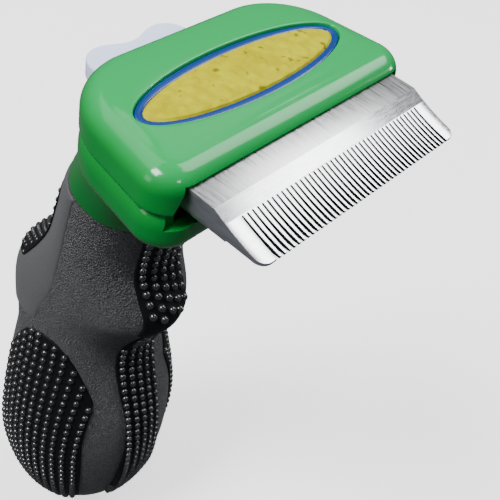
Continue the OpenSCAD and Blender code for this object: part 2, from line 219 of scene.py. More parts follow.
def gloss_plastic(name, colour, rough=0.15, vary=0.08, wave=0.012, level=0.25, painted_top_light=None, fade=(0.0030, 0.0062)):
    """Injection-moulded gloss plastic: faint flow variation, sink waviness and handling haze. The
    colour may turn paler between two heights: painted light, a lighter top where light falls on it."""
    n = Nodes(name)
    big = n.noise(70, 2.0)
    dark = tuple(c * (1 - vary) for c in colour)
    light = tuple(min(c * (1 + vary), 1) for c in colour)
    base = n.mix(n.ramp(big, (0.3, 0.0), (0.7, 1.0)), dark, light)
    # Painted light: above the given heights the colour blends into a paler one, a lit top painted into the colour.
    if painted_top_light:
        split = n.add("ShaderNodeSeparateXYZ")
        n.link(n.coord, split.inputs["Vector"])
        height = n.add("ShaderNodeMapRange", interpolation_type="SMOOTHSTEP")
        height.inputs["From Min"].default_value, height.inputs["From Max"].default_value = fade
        n.link(split.outputs["Z"], height.inputs["Value"])
        base = n.mix(height.outputs["Result"], base, painted_top_light)
    haze = n.noise(900, 4.0, 0.6)
    rough_map = n.ramp(haze, (0.35, rough * 0.85), (0.75, rough * 1.25))
    under = n.bump(n.noise(160, 1.0), 0.0001, wave)
    n.bump(n.noise(5000, 2.0), 0.00001, 0.05, under)
    n.set(Base_Color=base, Roughness=rough_map, IOR=1.5, Specular_IOR_Level=level)
    return n.mat


def matte_plastic(name, colour, rough=0.5, grain=3200, depth=0.00002, vary=0.12):
    n = Nodes(name)
    base = n.mix(n.noise(120, 3.0), tuple(c * (1 - vary) for c in colour),
                 tuple(min(c * (1 + vary), 1) for c in colour))
    fine = n.noise(grain, 3.0)
    n.bump(fine, depth, 0.5)
    n.set(Base_Color=base, Roughness=n.ramp(fine, (0.3, rough * 0.85), (0.7, rough * 1.1)), IOR=1.5)
    return n.mat


def steel(name, colour, rough=0.28, stretch=(6, 300, 300), turn=(0, 0, 0), depth=0.00002, vary=0.2):
    """Steel with machining marks: the stretch sets the direction in which the marks are drawn out."""
    n = Nodes(name)
    where = n.mapped(stretch, None, turn)
    marks = n.noise(8, 4.0, 0.65, None, where)
    cloud = n.noise(150, 2.0)
    base = n.mix(marks, tuple(c * (1 - vary) for c in colour), tuple(min(c * (1 + vary), 1) for c in colour))
    base = n.mix(n.ramp(cloud, (0.35, 0.0), (0.75, 0.25)), base, tuple(c * 0.75 for c in colour))
    n.bump(marks, depth, 0.6)
    n.set(Base_Color=base, Metallic=1.0, Roughness=n.ramp(marks, (0.25, rough * 0.75), (0.8, rough * 1.35)))
    return n.mat


def rubber_dots(name):
    n = Nodes(name)
    cloud = n.noise(400, 2.0)
    n.bump(n.noise(6000, 2.0), 0.00001, 0.25)
    n.set(Base_Color=n.mix(cloud, (0.009, 0.009, 0.010), (0.020, 0.020, 0.021)),
          Roughness=n.ramp(n.noise(1500, 3.0), (0.3, 0.15), (0.75, 0.22)), Coat_Weight=0.8,
          Coat_Roughness=0.08, IOR=1.5)
    return n.mat


def skin_rubber(name):
    """Matt black rubber between the dots, dusty and slightly uneven."""
    n = Nodes(name)
    n.bump(n.noise(3000, 3.0), 0.00002, 0.4)
    n.set(Base_Color=n.mix(n.noise(700, 3.0), (0.0025, 0.0025, 0.003), (0.007, 0.007, 0.008)),
          Roughness=n.ramp(n.noise(1200, 2.0), (0.3, 0.55), (0.7, 0.7)), IOR=1.4, Specular_IOR_Level=0.22)
    return n.mat


def grip_rubber(name, colour, grain_depth, speckle_and_glint, rough):
    """Soft moulded elastomer: a fine spark-eroded grain and a dusting of wear. Its peaks are painted paler, partly
    grain tone and partly painted glints.
    """
    n = Nodes(name)
    fine = n.noise(2600, 3.0, 0.65)
    pits = n.voronoi(2600)
    cloud = n.noise(60, 3.0)
    low = tuple(c * (1 - speckle_and_glint) for c in colour)
    high = tuple(c * (1 + speckle_and_glint) for c in colour)
    # Paler colour on the bump peaks: part grain tone, part painted glint.
    base = n.mix(n.ramp(fine, (0.34, 0.0), (0.66, 1.0)), low, high)
    base = n.mix(n.ramp(cloud, (0.3, 0.0), (0.8, 0.35)), base, tuple(c * 1.25 for c in colour))
    height = n.math("ADD", n.math("MULTIPLY", fine, 0.7), n.math("MULTIPLY", pits, 0.5))
    n.bump(height, grain_depth, 0.8)
    n.set(Base_Color=base, Roughness=n.ramp(fine, (0.3, rough), (0.7, rough * 0.8)), IOR=1.48,
          Specular_IOR_Level=0.4, Sheen_Weight=0.05, Sheen_Roughness=0.5)
    return n.mat


def pebbled_inlay(name):
    """Yellow plastic under low pebbles, with a few darker specks between them, and painted light and shade on
    pebble-sized cells: paler in their middles, darker at their borders.
    """
    n = Nodes(name)
    cells = n.voronoi(560, "SMOOTH_F1", 0.9)
    cloud = n.noise(160, 3.0)
    # Painted light and shade: paler cell middles and darker cell borders, like lit pebble tops with shade between
    # them.
    base = n.mix(n.ramp(cells, (0.15, 0.0), (0.6, 1.0)), (0.42, 0.395, 0.0), (0.33, 0.29, 0.0))
    base = n.mix(n.ramp(cloud, (0.4, 0.0), (0.8, 0.5)), base, (0.46, 0.44, 0.0))
    specks = n.ramp(n.noise(620, 1.0), (0.66, 0.0), (0.71, 0.75))
    base = n.mix(specks, base, (0.12, 0.09, 0.0))
    n.bump(n.noise(2600, 3.0), 0.00003, 0.4)
    n.set(Base_Color=base, Roughness=n.ramp(cells, (0.1, 0.42), (0.6, 0.6)), IOR=1.45, Specular_IOR_Level=0.10)
    return n.mat


# ---------------------------------------------------------------- head

FRONT, BACK = 12.7, 39.2
TOP, SEAM, DROP = 6.2, -0.9, -8.0
FRONT_CORNER = (21.3, 17.7, 5.0)
BACK_CORNER = (11.9, 26.2, 13.0)
BADGE_Y = 24.65
INLAY = (19.4, 4.6)
RIM = 1.4


def head_frame(front=26, corner=18, side=30, rear=40):
    """Centres, radii and outward directions round the head's plan, from the middle of the front."""
    fx, fy, fr = FRONT_CORNER
    bx, by, br = BACK_CORNER
    run = math.atan2(by - fy, bx - fx)
    lean = run - math.acos((fr - br) / math.hypot(bx - fx, by - fy))
    right = []
    for t in np.linspace(0, 1, front, endpoint=False):
        right.append((fx * t, fy, fr, -math.pi / 2))
    for t in np.linspace(0, 1, corner, endpoint=False):
        right.append((fx, fy, fr, -math.pi / 2 + (lean + math.pi / 2) * t))
    for t in np.linspace(0, 1, side, endpoint=False):
        right.append((fx + (bx - fx) * t, fy + (by - fy) * t, fr + (br - fr) * t, lean))
    for t in np.linspace(0, 1, rear, endpoint=False):
        right.append((bx, by, br, lean + (math.pi / 2 - lean) * t))
    for t in np.linspace(0, 1, 14):
        right.append((bx * (1 - t), by, br, math.pi / 2))
    left = [(-x, y, r, math.pi - a) for x, y, r, a in right[-2:0:-1]]
    rows = np.array(right + left)
    return rows[:, :2], rows[:, 2], np.stack([np.cos(rows[:, 3]), np.sin(rows[:, 3])], 1)


CENTRES, RADII, OUTWARD = head_frame()
COUNT = len(RADII)


def plan(inset):
    return CENTRES + (RADII - inset)[:, None] * OUTWARD


def level(inset, z):
    ring = np.empty((COUNT, 3))
    ring[:, :2] = plan(inset)
    ring[:, 2] = z
    return ring


def closed_lengths(points):
    """Distance gone at each point of a closed line, and back at its start."""
    loop = np.vstack([points, points[:1]])
    return np.concatenate([[0], np.cumsum(np.linalg.norm(np.diff(loop, axis=0), axis=1))])


def oval_ring(grow, z):
    """Oval round the badge, with its points facing those of the head's plan."""
    a, b = INLAY[0] + grow, INLAY[1] + grow
    around = np.linspace(0, 2 * math.pi, 1441)[:-1] - math.pi / 2
    pts = np.stack([a * np.cos(around), BADGE_Y + b * np.sin(around)], 1)
    lengths, steps = closed_lengths(pts), closed_lengths(plan(3.6))
    want = steps[:-1] / steps[-1] * lengths[-1]
    ring = np.empty((COUNT, 3))
    for axis in (0, 1):
        ring[:, axis] = np.interp(want, lengths, np.append(pts[:, axis], pts[0, axis]))
    ring[:, 2] = z
    return ring


def ring_solid(name, rings, material, **extra):
    """Closed solid through rings of points, capped at both ends."""
    verts = np.concatenate(rings)
    cols = len(rings[0])
    faces = grid_faces(len(rings), cols, wrap=True)
    faces.append(list(range(cols))[::-1])
    faces.append([(len(rings) - 1) * cols + c for c in range(cols)])
    return make(name, verts, faces, material, **extra)


def cutter(name, verts, faces):
    mesh = bpy.data.meshes.new(name)
    mesh.from_pydata((np.asarray(verts, float) * MM).tolist(), [], [list(map(int, f)) for f in faces])
    obj = bpy.data.objects.new(name, mesh)
    bpy.context.scene.collection.objects.link(obj)
    return obj


def box_mesh(low, high):
    (a, b, c), (d, e, f) = low, high
    verts = [(a, b, c), (d, b, c), (d, e, c), (a, e, c), (a, b, f), (d, b, f), (d, e, f), (a, e, f)]
    faces = [(3, 2, 1, 0), (4, 5, 6, 7), (0, 1, 5, 4), (1, 2, 6, 5), (2, 3, 7, 6), (3, 0, 4, 7)]
    return verts, faces


def tube_mesh(centre, radius, low, high, sides=48):
    around = np.linspace(0, 2 * math.pi, sides, endpoint=False)
    ring = np.stack([centre[0] + radius * np.cos(around), centre[1] + radius * np.sin(around)], 1)
    verts = [(*p, low) for p in ring] + [(*p, high) for p in ring]
    faces = grid_faces(2, sides, wrap=True) + [list(range(sides))[::-1], list(range(sides, 2 * sides))]
    return verts, faces


def cut(obj, *parts):
    """Cuts closed meshes out of an object, one after another."""
    for verts, faces in parts:
        tool = cutter("cutter", verts, faces)
        modify(obj, "BOOLEAN", operation="DIFFERENCE", object=tool, solver="MANIFOLD")
        bpy.context.view_layer.update()
        bake(obj)
        mesh = tool.data
        bpy.data.objects.remove(tool)
        bpy.data.meshes.remove(mesh)


COMB_X = 22.4


def flared(low_half, high_half, back, low, high):
    """Cutter for the mouth, wider at its bottom than at its top."""
    verts, faces = box_mesh((-low_half, 8, low), (low_half, back, high))
    return [(x if z == low else x * high_half / low_half, y, z) for x, y, z in verts], faces


MOUTH = [flared(COMB_X + 2.5, COMB_X + 0.5, FRONT + 2.2, -3.2, 4.0),
         box_mesh((-COMB_X, 8, -1.4), (COMB_X, 24.2, 3.5))]


def top_shell():
    turn = np.radians(np.linspace(0, 84, 18))
    lip = np.radians(np.linspace(0, 90, 9))
    rings = [level(2, 4.4), level(2, SEAM), level(0.75, SEAM)]
    rings += [level(0.75 * (1 - math.sin(a)), SEAM + 0.8 - 0.8 * math.cos(a)) for a in lip[1:]]
    rings += [level(0, z) for z in np.linspace(0.2, 2.6, 5)[:-1]]
    rings += [level(3.6 * (1 - math.cos(a)), TOP - 0.3 - 3.3 * (1 - math.sin(a))) for a in turn]
    edge, rim = rings[-1], oval_ring(RIM + 0.25, TOP)
    for t in np.linspace(0, 1, 14)[1:]:
        ring = edge * (1 - t) + rim * t
        ring[:, 2] = TOP - (TOP - edge[0, 2]) * (1 - t) ** 2
        rings.append(ring)
    for a in np.radians([30, 60, 90]):
        rings.append(oval_ring(RIM + 0.25 - 0.25 * math.sin(a), TOP - 0.25 * (1 - math.cos(a))))
    rings.append(oval_ring(RIM, 5.3))
    obj = ring_solid("head_top_cover", rings, green, slot="head_top_shell", replaces=["head_top_shell"])
    cut(obj, *MOUTH)
    sharp_by_angle(obj, 35)
    return obj


def bottom_shell():
    lip = np.radians(np.linspace(0, 90, 15))
    turn = np.radians(np.linspace(0, 90, 16))
    rings = [level(3 - 3 * math.sin(a), DROP + 3 - 3 * math.cos(a)) for a in turn]
    rings += [level(0, z) for z in np.linspace(-5, -3.7, 4)[1:]]
    rings += [level(1.4 - 1.4 * math.cos(a), -3.7 + 2.8 * math.sin(a)) for a in lip[1:]]
    rings += [level(2, SEAM), level(2, -6.2)]
    obj = ring_solid("head_bottom_cover", rings, green_low_shade, slot="head_bottom_shell",
                     replaces=["head_bottom_shell"])
    cut(obj, *MOUTH)
    cut(obj, box_mesh((-10.8, 36.9, -5.5), (10.8, 41, -0.2)))
    for x, y, r, deep in ((14, 18, 2.9, 1.5), (20.4, 30, 2.2, 2.1)):
        for sign in (-1, 1):
            cut(obj, tube_mesh((sign * x, y), r, DROP - 1, DROP + deep))
    sharp_by_angle(obj, 35)
    return obj


def badge():
    """Blue rim with a rolled edge, and a domed yellow inlay covered in low pebbles."""
    section = [(-0.35, -0.5), (RIM - 0.05, -0.5)]
    for a in np.radians(np.linspace(0, 180, 11)):
        section.append((RIM / 2 - 0.06 + RIM / 2 * math.cos(a), 0.30 * math.sin(a) ** 0.8))
    rings = [oval_ring(g, 5.55 + h) for g, h in section]
    verts = np.concatenate(rings)
    faces = grid_faces(len(rings), COUNT, wrap=True)
    last = (len(rings) - 1) * COUNT
    faces += [[last + c, last + (c + 1) % COUNT, (c + 1) % COUNT, c] for c in range(COUNT)]
    rim = make("badge_rim_ring", verts, faces, blue, slot="badge_rim", replaces=["badge_rim"])

    rows, cols = 90, 300
    t = np.linspace(0, 1, rows)[:, None]
    around = np.linspace(0, 2 * math.pi, cols, endpoint=False)[None, :]
    x = INLAY[0] * t * np.cos(around)
    y = INLAY[1] * t * np.sin(around)
    rng = np.random.default_rng(7)
    pebbles = rng.uniform(-1, 1, (520, 2)) * [INLAY[0], INLAY[1]]
    kept = []
    for p in pebbles:
        if all(math.hypot(p[0] - q[0], p[1] - q[1]) > 1.15 for q in kept):
            kept.append(p)
    bumps = np.zeros(np.broadcast(x, y).shape)
    for px, py in kept:
        size = rng.uniform(0.66, 0.92)
        d = np.hypot(x - px, y - py) / size
        bumps = np.maximum(bumps, np.where(d < 1, (1 - np.minimum(d, 1) ** 2) ** 1.5, 0) * rng.uniform(0.13, 0.24))
    crown = 0.28 * (1 - t ** 2.6)
    z = 5.98 + crown + bumps * smoothstep((1 - t) / 0.12) - 0.35 * smoothstep((t - 0.955) / 0.045)
    verts = np.stack([x, y + BADGE_Y, z], -1).reshape(-1, 3)
    verts = np.concatenate([verts, [[v[0], v[1], 5.35] for v in verts[-cols:]]])
    faces = grid_faces(rows + 1, cols, wrap=True, flip=True)
    faces = [f for f in faces if min(f) >= cols]
    centre = len(verts)
    verts = np.concatenate([verts, [[0, BADGE_Y, z[1].mean()]]])
    faces += [[centre, cols + c, cols + (c + 1) % cols] for c in range(cols)]
    faces.append([rows * cols + c for c in range(cols)][::-1])
    inlay = make("badge_inlay_dome", verts, faces, yellow, slot="badge_inlay", replaces=["badge_inlay"])
    return rim, inlay


# ---------------------------------------------------------------- comb

TOOTH_COUNT = 42
SLOT_LENGTH, SLOT_TIP, SLOT_ROOT = 6.65, 0.52, 0.24
BEVEL, THICK, TIP, GRIND = 8.95, 3.45, 0.45, 34.0
HALF_COMB = 22.25


def prism(outline, low, high):
    """Upright closed prism on a counter-clockwise outline."""
    n = len(outline)
    verts = [(x, y, low) for x, y in outline] + [(x, y, high) for x, y in outline]
    faces = grid_faces(2, n, wrap=True) + [list(range(n))[::-1], list(range(n, 2 * n))]
    return verts, faces


def joined(parts):
    verts, faces = [], []
    for v, f in parts:
        start = len(verts)
        verts += list(v)
        faces += [[start + i for i in face] for face in f]
    return verts, faces


def comb():
    r = 1.6
    corner = np.radians(np.linspace(-90, 0, 11))
    right = [(HALF_COMB - r + r * math.cos(a), r + r * math.sin(a)) for a in corner]
    outline = right + [(HALF_COMB, 24), (-HALF_COMB, 24)] + [(-x, y) for x, y in right[::-1]]
    verts, faces = prism(outline, 0, THICK)
    obj = make("comb", verts, faces, steel_ledge, slot="comb_blade", replaces=["comb_blade"])
    for material in (steel_bevel, steel_side, steel_slot_painted_shade):
        obj.data.materials.append(material)
    chord = np.array([BEVEL, THICK - TIP])
    length = np.linalg.norm(chord)
    reach = math.sqrt(GRIND ** 2 - length ** 2 / 4)
    centre = np.array([BEVEL / 2, (THICK + TIP) / 2]) + reach * np.array([-chord[1], chord[0]]) / length
    around = np.linspace(0, 2 * math.pi, 720, endpoint=False)
    ring = [(centre[0] + GRIND * math.cos(a), centre[1] + GRIND * math.sin(a)) for a in around]
    wheel = [(-30, y, z) for y, z in ring] + [(30, y, z) for y, z in ring]
    cut(obj, (wheel, grid_faces(2, 720, wrap=True) + [list(range(720))[::-1], list(range(720, 1440))]))
    pitch = 2 * HALF_COMB / (TOOTH_COUNT + 5)
    slots = []
    for i in range(TOOTH_COUNT):
        x = (i - (TOOTH_COUNT - 1) / 2) * pitch
        a, b = SLOT_TIP / 2 + 0.03, SLOT_ROOT / 2
        slots.append(prism([(x - a, -0.6), (x + a, -0.6), (x + b, SLOT_LENGTH - 0.1), (x, SLOT_LENGTH),
                            (x - b, SLOT_LENGTH - 0.1)], -1, 5))
    cut(obj, joined(slots))
    modify(obj, "BEVEL", width=0.045 * MM, segments=2, limit_method="ANGLE", angle_limit=math.radians(35),
           use_clamp_overlap=True)
    bake(obj)
    for face in obj.data.polygons:
        x, y, z = face.center / MM
        nx, ny, nz = face.normal
        if nz > 0.6:
            face.material_index = 1 if y < BEVEL - 0.02 else 0
        # The slot walls get the near-black steel: painted shade for the narrow gaps between the teeth.
        elif y < SLOT_LENGTH + 0.1 and abs(x) < HALF_COMB - 1.7 and y > 0.12:
            face.material_index = 3
        else:
            face.material_index = 2
    sharp_by_angle(obj, 30)
    return obj


# ---------------------------------------------------------------- ejector

def button():
    """Two round lobes with a shallow dip between them, and rolled edges all round."""
    width, back, lobe, dip = 20.6, 49.4, 4.2, 1.6
    lx, ly = width / 2 - lobe, back - lobe
    outline = [(-7, 37.1), (7, 37.1), (7, 39.8), (width / 2, 39.8)]
    outline += [(lx + lobe * math.cos(a), ly + lobe * math.sin(a)) for a in np.radians(np.linspace(0, 90, 18))]
    for u in np.linspace(1, -1, 41)[1:-1]:
        outline.append((lx * u, back - dip * math.cos(math.pi / 2 * u) ** 2))
    outline += [(-lx - lobe * math.sin(a), ly + lobe * math.cos(a)) for a in np.radians(np.linspace(0, 90, 18))]
    outline.append((-width / 2, 39.8))
    verts, faces = prism(outline, -5.2, -2.0)
    obj = make("button_cap", verts, faces, lavender, body="ejector", slot="ejector_button",
               replaces=["ejector_button"])
    cut(obj, box_mesh((-8, 36, -6), (8, 41.2, -4.4)))
    modify(obj, "BEVEL", width=0.9 * MM, segments=6, limit_method="ANGLE", angle_limit=math.radians(50),
           use_clamp_overlap=True)
    bake(obj)
    sharp_by_angle(obj, 35)
    return obj


def springs():
    """Round-wire compression springs with closed ends, squashed towards their fixed seats."""
    for sign, name in ((-1, "left"), (1, "right")):
        turns, wire, mean, length = 9, 0.25, 1.85, 21.3
        steps = turns * 32
        rings = []
        for i in range(steps + 1):
            t = i / steps
            a = 2 * math.pi * turns * t * sign
            y = np.interp(t, [0, 0.1, 0.9, 1], [wire, 3 * wire + 0.1, length - 3 * wire - 0.1, length - wire])
            ring = []
            for k in range(12):
                b = 2 * math.pi * k / 12
                r = mean + wire * math.cos(b)
                ring.append((5 * sign + r * math.cos(a), 14.7 + y + wire * math.sin(b), -3.2 + r * math.sin(a)))
            rings.append(np.array(ring))
        obj = ring_solid("spring_" + name, rings if sign > 0 else rings[::-1], wire_steel, slot="return_springs",
                         replaces=["return_springs"] if sign < 0 else [])
        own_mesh(obj)


# ---------------------------------------------------------------- handle

# Sections of the neck and grip, top to bottom: height, half width, front, back, squareness of the
# front and of the back, slope. The same design values as the CAD part's.
SECTIONS = np.array([
    (-7.5, 18.5, 19, 44, 2.2, 2.6, 0), (-13, 16.6, 24, 46.5, 2.2, 2.4, 0.05),
    (-20, 14.6, 28, 49.6, 2.2, 2.3, 0.15), (-27.5, 13.5, 32, 53, 2.2, 2.2, 0.24),
    (-37, 13, 34, 55.6, 2, 2.3, 0.14), (-44, 13, 34.6, 57.6, 2, 2.4, 0.05),
    (-49, 13.3, 33, 60.6, 1.9, 2.5, 0), (-54, 13.8, 30.2, 64.6, 1.8, 2.5, 0),
    (-58, 14.1, 30.4, 67.6, 1.8, 2.5, 0), (-62, 14.3, 32.8, 68.6, 1.8, 2.5, 0),
    (-66, 14.5, 35.6, 68.6, 1.9, 2.4, 0), (-70, 14.8, 37.2, 68.2, 2, 2.3, 0),
    (-76, 15.6, 37.4, 68.2, 2, 2.1, 0), (-84, 17.4, 35.8, 69.4, 2, 2, 0),
    (-94, 19, 33.4, 71, 2, 2, 0), (-105, 19.8, 32.3, 72.2, 2, 2, 0),
    (-116, 19, 33, 71.4, 2, 2, 0), (-126, 16.6, 35.6, 68.6, 2, 2, 0),
    (-134, 12.6, 39.4, 64.2, 2, 2, 0), (-138.6, 8.4, 43.6, 60, 2, 2, 0),
    (-141.4, 3.8, 48.2, 55.4, 2, 2, 0)], float)
LAST = len(SECTIONS) - 1


def section(place):
    place = np.asarray(place, float)
    i = np.clip(np.floor(place).astype(int), 0, LAST - 1)
    t = (place - i)[..., None]
    a, b = SECTIONS[np.maximum(i - 1, 0)], SECTIONS[i]
    c, d = SECTIONS[i + 1], SECTIONS[np.minimum(i + 2, LAST)]
    return 0.5 * (2 * b + (c - a) * t + (2 * a - 5 * b + 4 * c - d) * t * t + (3 * b - a - 3 * c + d) * t ** 3)


def handle(place, degrees, lift=0.0):
    """Points on the handle: 0 degrees is +X, 90 the back; lift moves outward."""
    place, degrees = np.broadcast_arrays(np.asarray(place, float), np.asarray(degrees, float))
    s = section(place)
    c, w = np.cos(np.radians(degrees)), np.sin(np.radians(degrees))
    n = np.where(w < 0, s[..., 4], s[..., 5])
    x = s[..., 1] * np.sign(c) * np.abs(c) ** (2 / n)
    y = (s[..., 3] - s[..., 2]) / 2 * np.sign(w) * np.abs(w) ** (2 / n)
    grow = 1 + lift / np.maximum(np.hypot(x, y), 1e-6)
    return np.stack([x * grow, (s[..., 2] + s[..., 3]) / 2 + y * grow, s[..., 0] + s[..., 6] * y], -1)


def normals(place, degrees):
    e = 0.02
    du = handle(place + e, degrees) - handle(place - e, degrees)
    dv = handle(place, degrees + 1.0) - handle(place, degrees - 1.0)
    n = np.cross(du, dv)
    n /= np.linalg.norm(n, axis=-1, keepdims=True)
    mid = section(place)
    out = handle(place, degrees) - np.stack([0 * mid[..., 0], (mid[..., 2] + mid[..., 3]) / 2, mid[..., 0]], -1)
    return n * np.sign((n * out).sum(-1, keepdims=True))


COLLAR_END = 3.0


def collar():
    """Collar under the head, with a rolled lower lip that overlaps the grip."""
    around = np.linspace(0, 360, 220, endpoint=False)
    rings = [handle(np.full(220, p), around, 0.0) for p in np.linspace(0.02, COLLAR_END - 0.06, 44)]
    rings += [handle(np.full(220, COLLAR_END - 0.06 + 0.06 * math.sin(a)), around, -0.45 * (1 - math.cos(a)))
              for a in np.radians([25, 50, 75, 90])]
    rings.append(handle(np.full(220, COLLAR_END), around, -1.6))
    rings = rings[::-1]
    obj = ring_solid("neck_collar_shell", rings, green_dark_shade, slot="neck_collar", replaces=["neck_collar"])
    sharp_by_angle(obj, 50)
    return obj


def grip():
    cols = 240
    around = np.linspace(0, 360, cols, endpoint=False)
    rings = [handle(np.full(cols, COLLAR_END - 0.02), around, -1.2)]
    rings += [handle(np.full(cols, p), around, -0.05) for p in np.linspace(COLLAR_END - 0.02, LAST, 200)]
    end = rings[-1]
    middle = end.mean(0)
    for t, drop in ((0.8, 0.22), (0.58, 0.4), (0.34, 0.5), (0.12, 0.54)):
        ring = middle + (end - middle) * t
        ring[:, 2] -= drop
        rings.append(ring)
    obj = ring_solid("grip_body", rings[::-1], grip_grey, slot="handle_grip", replaces=["handle_grip"])
    sharp_by_angle(obj, 60)
    return obj


def patch(name, start, end, middle, half, height, material, slot, rows=110, cols=90, edge=0.35, sink=0.5):
    """Closed skin on the handle. half(place) is its half spread in degrees; its rim is rounded off."""
    place = np.linspace(start, end, rows)[:, None] * np.ones((1, cols))
    u = np.linspace(-1, 1, cols)[None, :] * np.ones((rows, 1))
    spread = np.array([max(half(p), 0.4) for p in place[:, 0]])[:, None]
    angle = middle + spread * u
    base = handle(place, angle)
    across = np.linalg.norm(np.diff(base, axis=1), axis=2).sum(1, keepdims=True) / 2
    along = np.linalg.norm(np.diff(base[:, cols // 2], axis=0), axis=1)
    gone = np.concatenate([[0], np.cumsum(along)])[:, None]
    rim = np.minimum(across * (1 - np.abs(u)), np.minimum(gone, gone[-1] - gone))
    round_off = np.sqrt(1 - (1 - np.clip(rim / edge, 0, 1)) ** 2)
    top = handle(place, angle, -0.12 + (height + 0.12) * round_off)
    bottom = handle(place, angle, -sink)
    verts = np.concatenate([top.reshape(-1, 3), bottom.reshape(-1, 3)])
    n = rows * cols
    faces = grid_faces(rows, cols, flip=True) + grid_faces(rows, cols, start=n)
    ring = [c for c in range(cols)] + [r * cols + cols - 1 for r in range(1, rows)]
    ring += [(rows - 1) * cols + c for c in range(cols - 2, -1, -1)] + [r * cols for r in range(rows - 2, 0, -1)]
    for a, b in zip(ring, ring[1:] + ring[:1]):
        faces.append([a, b, b + n, a + n])
    obj = make(name, verts, faces, material, slot=slot, replaces=[slot])
    sharp_by_angle(obj, 60)
    return obj


def dots(name, spots, material, slot, height=0.28, radius=0.76, rise=0.72):
    """Domed rubber dots standing on a skin. spots are (place, degrees, size)."""
    spots = np.array(spots)
    base = handle(spots[:, 0], spots[:, 1])
    out = normals(spots[:, 0], spots[:, 1])
    sides = 14
    profile = [(1.06, -0.45), (1.0, 0.05)] + [(math.cos(a) ** 0.9, 0.05 + math.sin(a)) for a in
                                             np.radians([22, 42, 60, 76])]
    around = np.linspace(0, 2 * math.pi, sides, endpoint=False)
    verts, faces = [], []
    for b, n, size in zip(base, out, spots[:, 2]):
        side = np.cross(n, (0.3, 0.2, 1.0))
        side /= np.linalg.norm(side)
        other = np.cross(n, side)
        start = len(verts)
        for r, h in profile:
            for a in around:
                round_it = (side * math.cos(a) + other * math.sin(a)) * r * radius * size
                verts.append(b + n * (height + h * rise * size) + round_it)
        verts.append(b + n * (height + 1.05 * rise * size))
        faces += grid_faces(len(profile), sides, wrap=True, start=start)
        last = start + (len(profile) - 1) * sides
        top = len(verts) - 1
        faces += [[last + c, last + (c + 1) % sides, top] for c in range(sides)]
        faces.append([start + c for c in range(sides)][::-1])
    obj = make(name, verts, faces, material, slot=slot)
    sharp_by_angle(obj, 60)
    return obj


def place_at(z):
    """Place along the handle's sections at which its middle has that height."""
    places = np.linspace(0, LAST, 2001)
    return float(np.interp(-z, -section(places)[:, 0], places))


def tapered(start, end, spread, top, low):
    """Half spread of a skin that closes to a rounded end over a share of its length."""
    def half(place):
        t = (place - start) / (end - start)
        a = min(t / top, 1) if top else 1
        b = min((1 - t) / low, 1) if low else 1
        return spread * (max(a, 0) * max(b, 0)) ** 0.6
    return half


def solve_angle(place, offset, side):
    """Angle on the handle at a given offset from its middle plane, on the front, back, left or right."""
    s = section(place)
    if side in ("left", "right"):
        ratio = offset / ((s[3] - s[2]) / 2)
        n = s[5] if ratio > 0 else s[4]
        a = math.degrees(math.asin(min(abs(ratio) ** (n / 2), 0.999))) * (1 if ratio > 0 else -1)
        return a if side == "right" else 180 - a
    ratio = offset / s[1]
    n = s[4] if side == "front" else s[5]
    a = math.degrees(math.acos(min(abs(ratio) ** (n / 2), 0.999)))
    a = a if ratio > 0 else 180 - a
    return 360 - a if side == "front" else a


REST_T = 0.4   # thickness of the thumb rest
SKIN_T = 0.34  # height of the other pads' skins


def thumb_rest():
    ends = tapered(3.05, 11.2, 1.0, 0, 0.12)

    def half(place):
        return ends(place) * (80 + 7 * float(smoothstep((place - 3.2) / 5)))
    return patch("thumb_rest_skin", 3.05, 11.2, 90, half, REST_T, grip_smooth, "thumb_rest",
                 rows=200, cols=140, edge=2.6)


def thumb_dots():
    start, end = 3.3, 8.2
    half = tapered(start, end, 50, 0.1, 0.15)
    patch("thumb_skin", start, end, 90, half, REST_T + 0.3, black_skin, "thumb_pad", edge=0.3, sink=0.1)
    places = np.linspace(start, end, 400)
    line = handle(places, np.full(400, 90.0))
    gone = np.concatenate([[0], np.cumsum(np.linalg.norm(np.diff(line, axis=0), axis=1))])
    spots = []
    pitch = 1.65
    for row, reach in enumerate(np.arange(0.8, gone[-1] - 0.6, pitch * 0.87)):
        place = float(np.interp(reach, gone, places))
        for col in np.arange(-8, 9):
            x = (col + (0.5 if row % 2 else 0)) * pitch
            if abs(x) > section(place)[1] * 0.96:
                continue
            angle = solve_angle(place, x, "back")
            if abs(angle - 90) < half(place) - 3:
                spots.append((place, angle, 0.64))
    dots("thumb_dots", spots, dot_rubber, "thumb_pad", height=REST_T + 0.2, rise=0.5)


def finger_dots():
    start, end = 3.1, 9.6
    half = tapered(start, end, 27, 0, 0.2)
    patch("finger_skin", start, end, 270, half, SKIN_T, black_skin, "finger_pad")
    spots = []
    for row in range(11):
        for col in range(-2, 3):
            z = -30.4 - row * 2.27 - (1.13 if col % 2 else 0)
            place = place_at(z)
            x = col * (2.0 + max(z + 51, 0) * 0.03)
            angle = solve_angle(place, x, "front")
            if start + 0.1 < place < 7.4 and abs(angle - 270) < half(place) - 3:
                spots.append((place, angle, 1.0 if z > -46 else 1.12))
    dots("finger_dots", spots, dot_rubber, "finger_pad")


def waisted(start, end, wide, narrow, waist, top, low):
    """Half spread that narrows to a waist and closes to rounded ends."""
    ends = tapered(start, end, 1.0, top, low)

    def half(place):
        return ends(place) * (wide - (wide - narrow) * math.exp(-((place - waist) / 1.5) ** 2))
    return half


